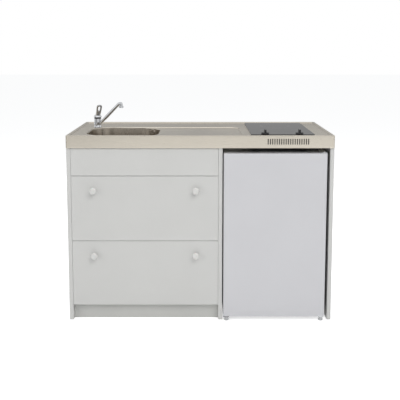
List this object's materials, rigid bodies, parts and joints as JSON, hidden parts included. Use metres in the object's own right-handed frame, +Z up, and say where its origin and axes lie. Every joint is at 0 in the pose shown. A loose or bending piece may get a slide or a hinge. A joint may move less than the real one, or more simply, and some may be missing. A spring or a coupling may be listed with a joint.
{
  "type": "kitchenette unit with sink and hob",
  "caption": "Compact kitchenette: drawer cabinet and under-counter refrigerator below one stainless steel top with bowl, drainer, mixer tap and glass hob.",
  "frame": {"origin": "on the floor, under the middle of the unit's outline", "axes": "+X to the right along the worktop, +Y to the wall, +Z up; the fronts face -Y"},
  "size_m": [1.2, 0.618, 0.985],
  "materials": {
    "white_board": "matt white melamine facing on chipboard",
    "plinth_board": "matt pale grey melamine facing on chipboard",
    "stainless": "satin stainless steel sheet",
    "chrome": "polished chrome plate",
    "zinc_sheet": "zinc-plated steel sheet",
    "hob_glass": "polished black glass ceramic",
    "black_plastic": "matt black moulded plastic",
    "white_plastic": "white moulded plastic",
    "fridge_paint": "pale grey-white enamel over foam-filled walls",
    "gasket_rubber": "soft pale grey seal",
    "dark_steel": "black stoved enamel",
    "clear_plastic": "clear moulded plastic",
    "shelf_glass": "toughened clear glass with a white trim",
    "grey_plastic": "grey moulded plastic"
  },
  "bodies": {
    "unit": {"left_side_panel": "white_board", "divider_panel": "white_board", "right_side_panel": "white_board", "cabinet_floor": "white_board", "cabinet_front_rail": "white_board", "cabinet_rear_rail": "white_board", "plinth_board": "plinth_board", "false_front": "white_board", "worktop": "stainless", "sink_bowl": "stainless", "waste_flange": "chrome", "waste_trap": "white_plastic", "overflow_rosette": "chrome", "hob_glass": "hob_glass", "hob_casing": "zinc_sheet", "hob_element_front": "dark_steel", "hob_element_rear": "dark_steel", "tap_body": "chrome", "tap_fixing": "chrome", "runner_upper_left": "zinc_sheet", "runner_upper_right": "zinc_sheet", "runner_lower_left": "zinc_sheet", "runner_lower_right": "zinc_sheet", "fridge_cabinet": "fridge_paint", "fridge_shelf": "shelf_glass", "crisper_cover": "shelf_glass", "fridge_crisper": "clear_plastic", "thermostat_housing": "white_plastic", "fridge_compressor": "dark_steel", "fridge_condenser": "dark_steel", "fridge_upper_hinge": "zinc_sheet", "fridge_lower_hinge": "zinc_sheet", "fridge_foot_left": "grey_plastic", "fridge_foot_right": "grey_plastic"},
    "upper_drawer": {"upper_drawer_front": "white_board", "upper_drawer_left_side": "zinc_sheet", "upper_drawer_right_side": "zinc_sheet", "upper_drawer_back": "white_board", "upper_drawer_bottom": "white_board", "upper_drawer_knob_left": "white_plastic", "upper_drawer_knob_right": "white_plastic"},
    "lower_drawer": {"lower_drawer_front": "white_board", "lower_drawer_left_side": "zinc_sheet", "lower_drawer_right_side": "zinc_sheet", "lower_drawer_back": "white_board", "lower_drawer_bottom": "white_board", "lower_drawer_knob_left": "white_plastic", "lower_drawer_knob_right": "white_plastic"},
    "door": {"fridge_door": "fridge_paint", "door_gasket": "gasket_rubber", "door_bin_upper": "clear_plastic", "door_bin_lower": "clear_plastic"},
    "spout": {"tap_spout": "chrome", "tap_aerator": "chrome"},
    "mixer_turn": {"tap_cartridge": "dark_steel"},
    "mixer_lever": {"tap_lever": "chrome"},
    "hob_control_left": {"hob_knob_left": "black_plastic"},
    "hob_control_right": {"hob_knob_right": "black_plastic"},
    "strainer": {"sink_strainer": "chrome"},
    "thermostat": {"thermostat_knob": "grey_plastic"}
  },
  "joints": [
    {"name": "upper_drawer_slide", "type": "slide", "parent": "unit", "child": "upper_drawer", "axis": [0, -1, 0], "range_m": [0, 0.37]},
    {"name": "lower_drawer_slide", "type": "slide", "parent": "unit", "child": "lower_drawer", "axis": [0, -1, 0], "range_m": [0, 0.37]},
    {"name": "fridge_door_hinge", "type": "hinge", "parent": "unit", "child": "door", "pos_m": [0.556, -0.276, 0.398], "axis": [0, 0, 1], "range_deg": [0, 105]},
    {"name": "spout_swivel", "type": "hinge", "parent": "unit", "child": "spout", "pos_m": [-0.50781, 0.08911, 0.87], "axis": [0, 0, 1], "range_deg": [-120, 120]},
    {"name": "mixer_temperature", "type": "hinge", "parent": "unit", "child": "mixer_turn", "pos_m": [-0.50781, 0.08911, 0.894], "axis": [0, 0, 1], "range_deg": [-45, 45]},
    {"name": "mixer_flow", "type": "hinge", "parent": "mixer_turn", "child": "mixer_lever", "pos_m": [-0.50781, 0.08911, 0.897], "axis": [-0.9455, -0.3256, 0], "range_deg": [0, 20]},
    {"name": "hob_left_turn", "type": "hinge", "parent": "unit", "child": "hob_control_left", "pos_m": [0.2955, -0.216, 0.8643], "axis": [0, 0, 1], "range_deg": [-290, 0]},
    {"name": "hob_right_turn", "type": "hinge", "parent": "unit", "child": "hob_control_right", "pos_m": [0.4515, -0.216, 0.8643], "axis": [0, 0, 1], "range_deg": [-290, 0]},
    {"name": "strainer_lift", "type": "slide", "parent": "unit", "child": "strainer", "axis": [0, 0, 1], "range_m": [0, 0.21]},
    {"name": "thermostat_turn", "type": "hinge", "parent": "unit", "child": "thermostat", "pos_m": [0.3765, -0.0684, 0.71], "axis": [0, 0, 1], "range_deg": [0, 270]}
  ]
}
